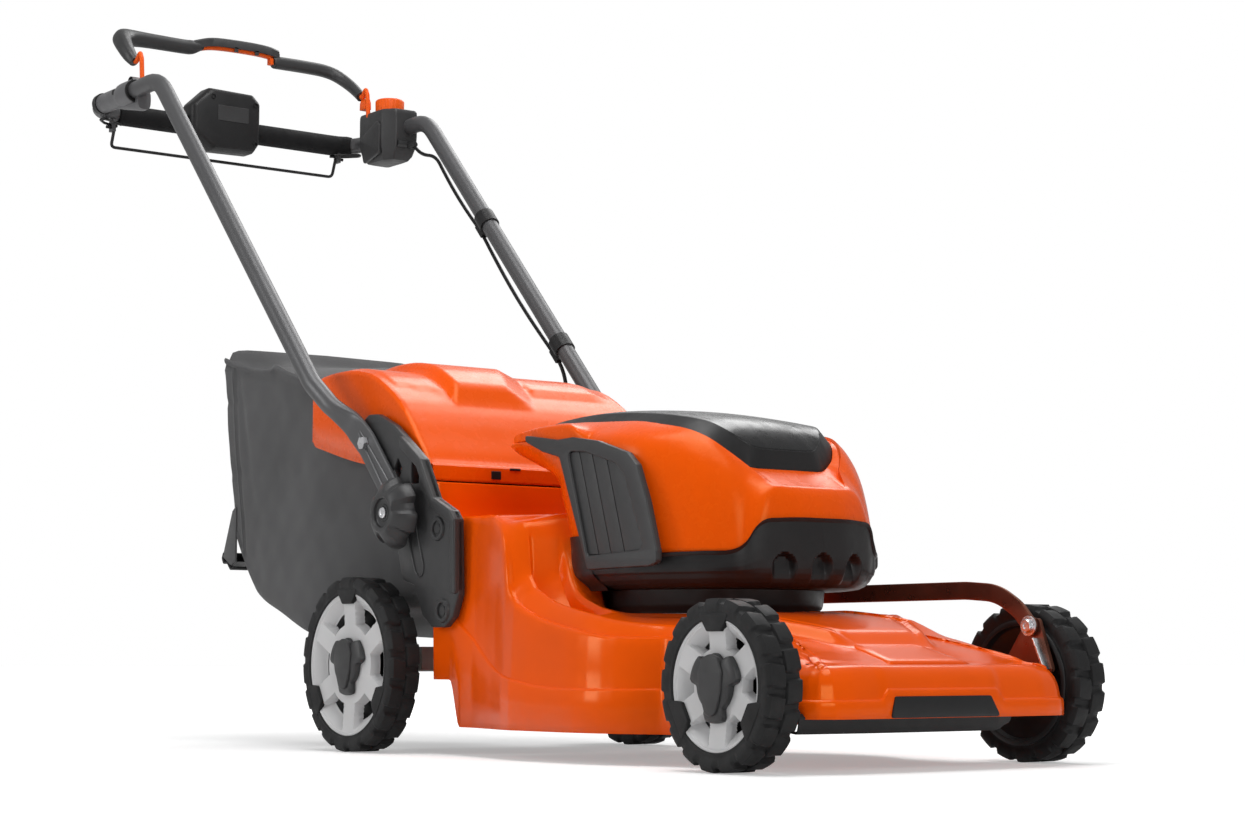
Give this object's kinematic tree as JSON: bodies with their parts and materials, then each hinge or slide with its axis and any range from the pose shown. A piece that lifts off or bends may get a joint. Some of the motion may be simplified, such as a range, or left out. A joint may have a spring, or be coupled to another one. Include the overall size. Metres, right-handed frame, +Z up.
{
  "type": "battery walk-behind lawn mower",
  "caption": "Walk-behind battery mower: steel deck with motor housing, rear flap and cloth grass bag, linked height adjustment, lugged wheels and a folding bail handle.",
  "frame": {"origin": "centre of the footprint on the ground", "axes": "+Z up, -Y towards the front of the mower, +X towards its left side"},
  "size_m": [0.528, 1.73, 1.1698],
  "materials": {
    "orange_paint": "glossy orange paint",
    "orange_plastic": "glossy moulded orange",
    "orange_control": "satin orange",
    "black_gloss": "high gloss black",
    "black_plastic": "fine textured black",
    "dark_plastic": "fine textured dark grey",
    "rim_grey": "satin light grey",
    "tyre_rubber": "matte rubber",
    "tube_coat": "powder coated grey",
    "grip_foam": "closed cell foam",
    "steel": "plated sheet",
    "zinc": "bright zinc",
    "cast_alloy": "cast",
    "battery_case": "fine textured black",
    "cable_sheath": "satin black",
    "bag_cloth": "woven polyester"
  },
  "bodies": {
    "deck": {"deck_shell": "orange_paint", "front_valance": "black_plastic", "housing_lower": "black_plastic", "housing_upper": "orange_plastic", "side_vents": "dark_plastic", "battery_tray": "black_plastic", "battery_packs": "battery_case", "blade_motor": "cast_alloy", "motor_controller": "cast_alloy", "bracket_right": "black_plastic", "bracket_left": "black_plastic", "bracket_bolts": "zinc", "handle_bolts": "zinc", "flap_rod": "steel", "front_clamps": "steel", "rear_clamps": "steel", "height_quadrant": "steel", "cable_lower": "cable_sheath"},
    "blade_set": {"motor_shaft": "steel", "blade_hub": "cast_alloy", "cutting_blade": "steel", "blade_bolt": "zinc"},
    "lid": {"battery_lid": "black_gloss"},
    "flap": {"rear_flap": "orange_plastic"},
    "grass_bag": {"bag_frame": "dark_plastic", "bag_fabric": "bag_cloth"},
    "front_crank": {"front_axle": "steel"},
    "rear_crank": {"rear_axle": "steel", "drive_gearbox": "cast_alloy", "height_lever": "black_plastic"},
    "link": {"connecting_rod": "steel"},
    "handle": {"handle_tube_right": "tube_coat", "handle_tube_left": "tube_coat", "cross_tube": "tube_coat", "foam_grips": "grip_foam", "handle_sleeve": "dark_plastic", "switch_box": "black_plastic", "console_case": "black_plastic", "cable_upper": "cable_sheath", "cable_clips": "black_plastic"},
    "upper_bail": {"bail_wire": "orange_control", "bail_grip": "dark_plastic"},
    "start_trigger": {"bail_trigger": "orange_control"},
    "drive_bail": {"bail_lower": "tube_coat"},
    "dial": {"speed_dial": "orange_control"},
    "button": {"power_button": "dark_plastic"},
    "star_knob_right": {"knob_right": "black_plastic"},
    "star_knob_left": {"knob_left": "black_plastic"},
    "wheel_front_right": {"tyre_front_right": "tyre_rubber", "rim_front_right": "rim_grey", "hub_cap_front_right": "dark_plastic"},
    "wheel_front_left": {"tyre_front_left": "tyre_rubber", "rim_front_left": "rim_grey", "hub_cap_front_left": "dark_plastic"},
    "wheel_rear_right": {"tyre_rear_right": "tyre_rubber", "rim_rear_right": "rim_grey", "hub_cap_rear_right": "dark_plastic"},
    "wheel_rear_left": {"tyre_rear_left": "tyre_rubber", "rim_rear_left": "rim_grey", "hub_cap_rear_left": "dark_plastic"}
  },
  "joints": [
    {"name": "blade_spin", "type": "hinge", "parent": "deck", "child": "blade_set", "pos_m": [0, -0.44699, 0.05], "axis": [0, 0, 1], "continuous": true},
    {"name": "lid_hinge", "type": "hinge", "parent": "deck", "child": "lid", "pos_m": [0, -0.18799, 0.412], "axis": [-1, 0, 0], "range_deg": [0, 75]},
    {"name": "flap_hinge", "type": "hinge", "parent": "deck", "child": "flap", "pos_m": [0, -0.09899, 0.367], "axis": [1, 0, 0], "range_deg": [0, 62]},
    {"name": "bag_pull", "type": "slide", "parent": "deck", "child": "grass_bag", "axis": [0, 1, 0], "range_m": [0, 0.45]},
    {"name": "height_front", "type": "hinge", "parent": "deck", "child": "front_crank", "pos_m": [0, -0.79799, 0.1002], "axis": [-1, 0, 0], "range_deg": [-18, 45]},
    {"name": "height_rear", "type": "hinge", "parent": "deck", "child": "rear_crank", "pos_m": [0, -0.02599, 0.1217], "axis": [-1, 0, 0], "range_deg": [-18, 45]},
    {"name": "height_link", "type": "hinge", "parent": "front_crank", "child": "link", "pos_m": [0, -0.79099, 0.1612], "axis": [-1, 0, 0], "range_deg": [-45, 18]},
    {"name": "spin_front_right", "type": "hinge", "parent": "front_crank", "child": "wheel_front_right", "pos_m": [0, -0.75999, 0.094], "axis": [1, 0, 0], "continuous": true},
    {"name": "spin_front_left", "type": "hinge", "parent": "front_crank", "child": "wheel_front_left", "pos_m": [0, -0.75999, 0.094], "axis": [1, 0, 0], "continuous": true},
    {"name": "spin_rear_right", "type": "hinge", "parent": "rear_crank", "child": "wheel_rear_right", "pos_m": [0, 0.01201, 0.1155], "axis": [1, 0, 0], "continuous": true},
    {"name": "spin_rear_left", "type": "hinge", "parent": "rear_crank", "child": "wheel_rear_left", "pos_m": [0, 0.01201, 0.1155], "axis": [1, 0, 0], "continuous": true},
    {"name": "handle_fold", "type": "hinge", "parent": "deck", "child": "handle", "pos_m": [0, 0.02101, 0.412], "axis": [1, 0, 0], "range_deg": [0, 120], "deforming": ["cable_lower"]},
    {"name": "bail_squeeze", "type": "hinge", "parent": "handle", "child": "upper_bail", "pos_m": [0, 0.72949, 1.03982], "axis": [-1, 0, 0], "range_deg": [0, 22], "stiffness_Nm_per_rad": 1.5, "springref_deg": -28.65},
    {"name": "trigger_pull", "type": "slide", "parent": "upper_bail", "child": "start_trigger", "axis": [0, 0, 1], "range_m": [0, 0.004], "stiffness_N_per_m": 300, "springref_m": -0.004},
    {"name": "drive_bail_pull", "type": "hinge", "parent": "handle", "child": "drive_bail", "pos_m": [0, 0.84349, 0.98982], "axis": [1, 0, 0], "range_deg": [0, 30], "stiffness_Nm_per_rad": 0.3, "springref_deg": -17.19},
    {"name": "dial_turn", "type": "hinge", "parent": "handle", "child": "dial", "pos_m": [0.235, 0.70749, 1.06382], "axis": [0, 0, 1], "range_deg": [-135, 135]},
    {"name": "button_press", "type": "slide", "parent": "handle", "child": "button", "axis": [0, -1, 0], "range_m": [0, 0.002], "stiffness_N_per_m": 400, "springref_m": -0.002},
    {"name": "knob_right_turn", "type": "hinge", "parent": "deck", "child": "star_knob_right", "pos_m": [-0.225, -0.06999, 0.313], "axis": [1, 0, 0], "range_deg": [0, 720]},
    {"name": "knob_left_turn", "type": "hinge", "parent": "deck", "child": "star_knob_left", "pos_m": [0.225, -0.06999, 0.313], "axis": [1, 0, 0], "range_deg": [0, 720]}
  ],
  "couplings": [
    {"joint": "height_rear", "follows": "height_front", "ratio": 1},
    {"joint": "height_link", "follows": "height_front", "ratio": -1}
  ]
}
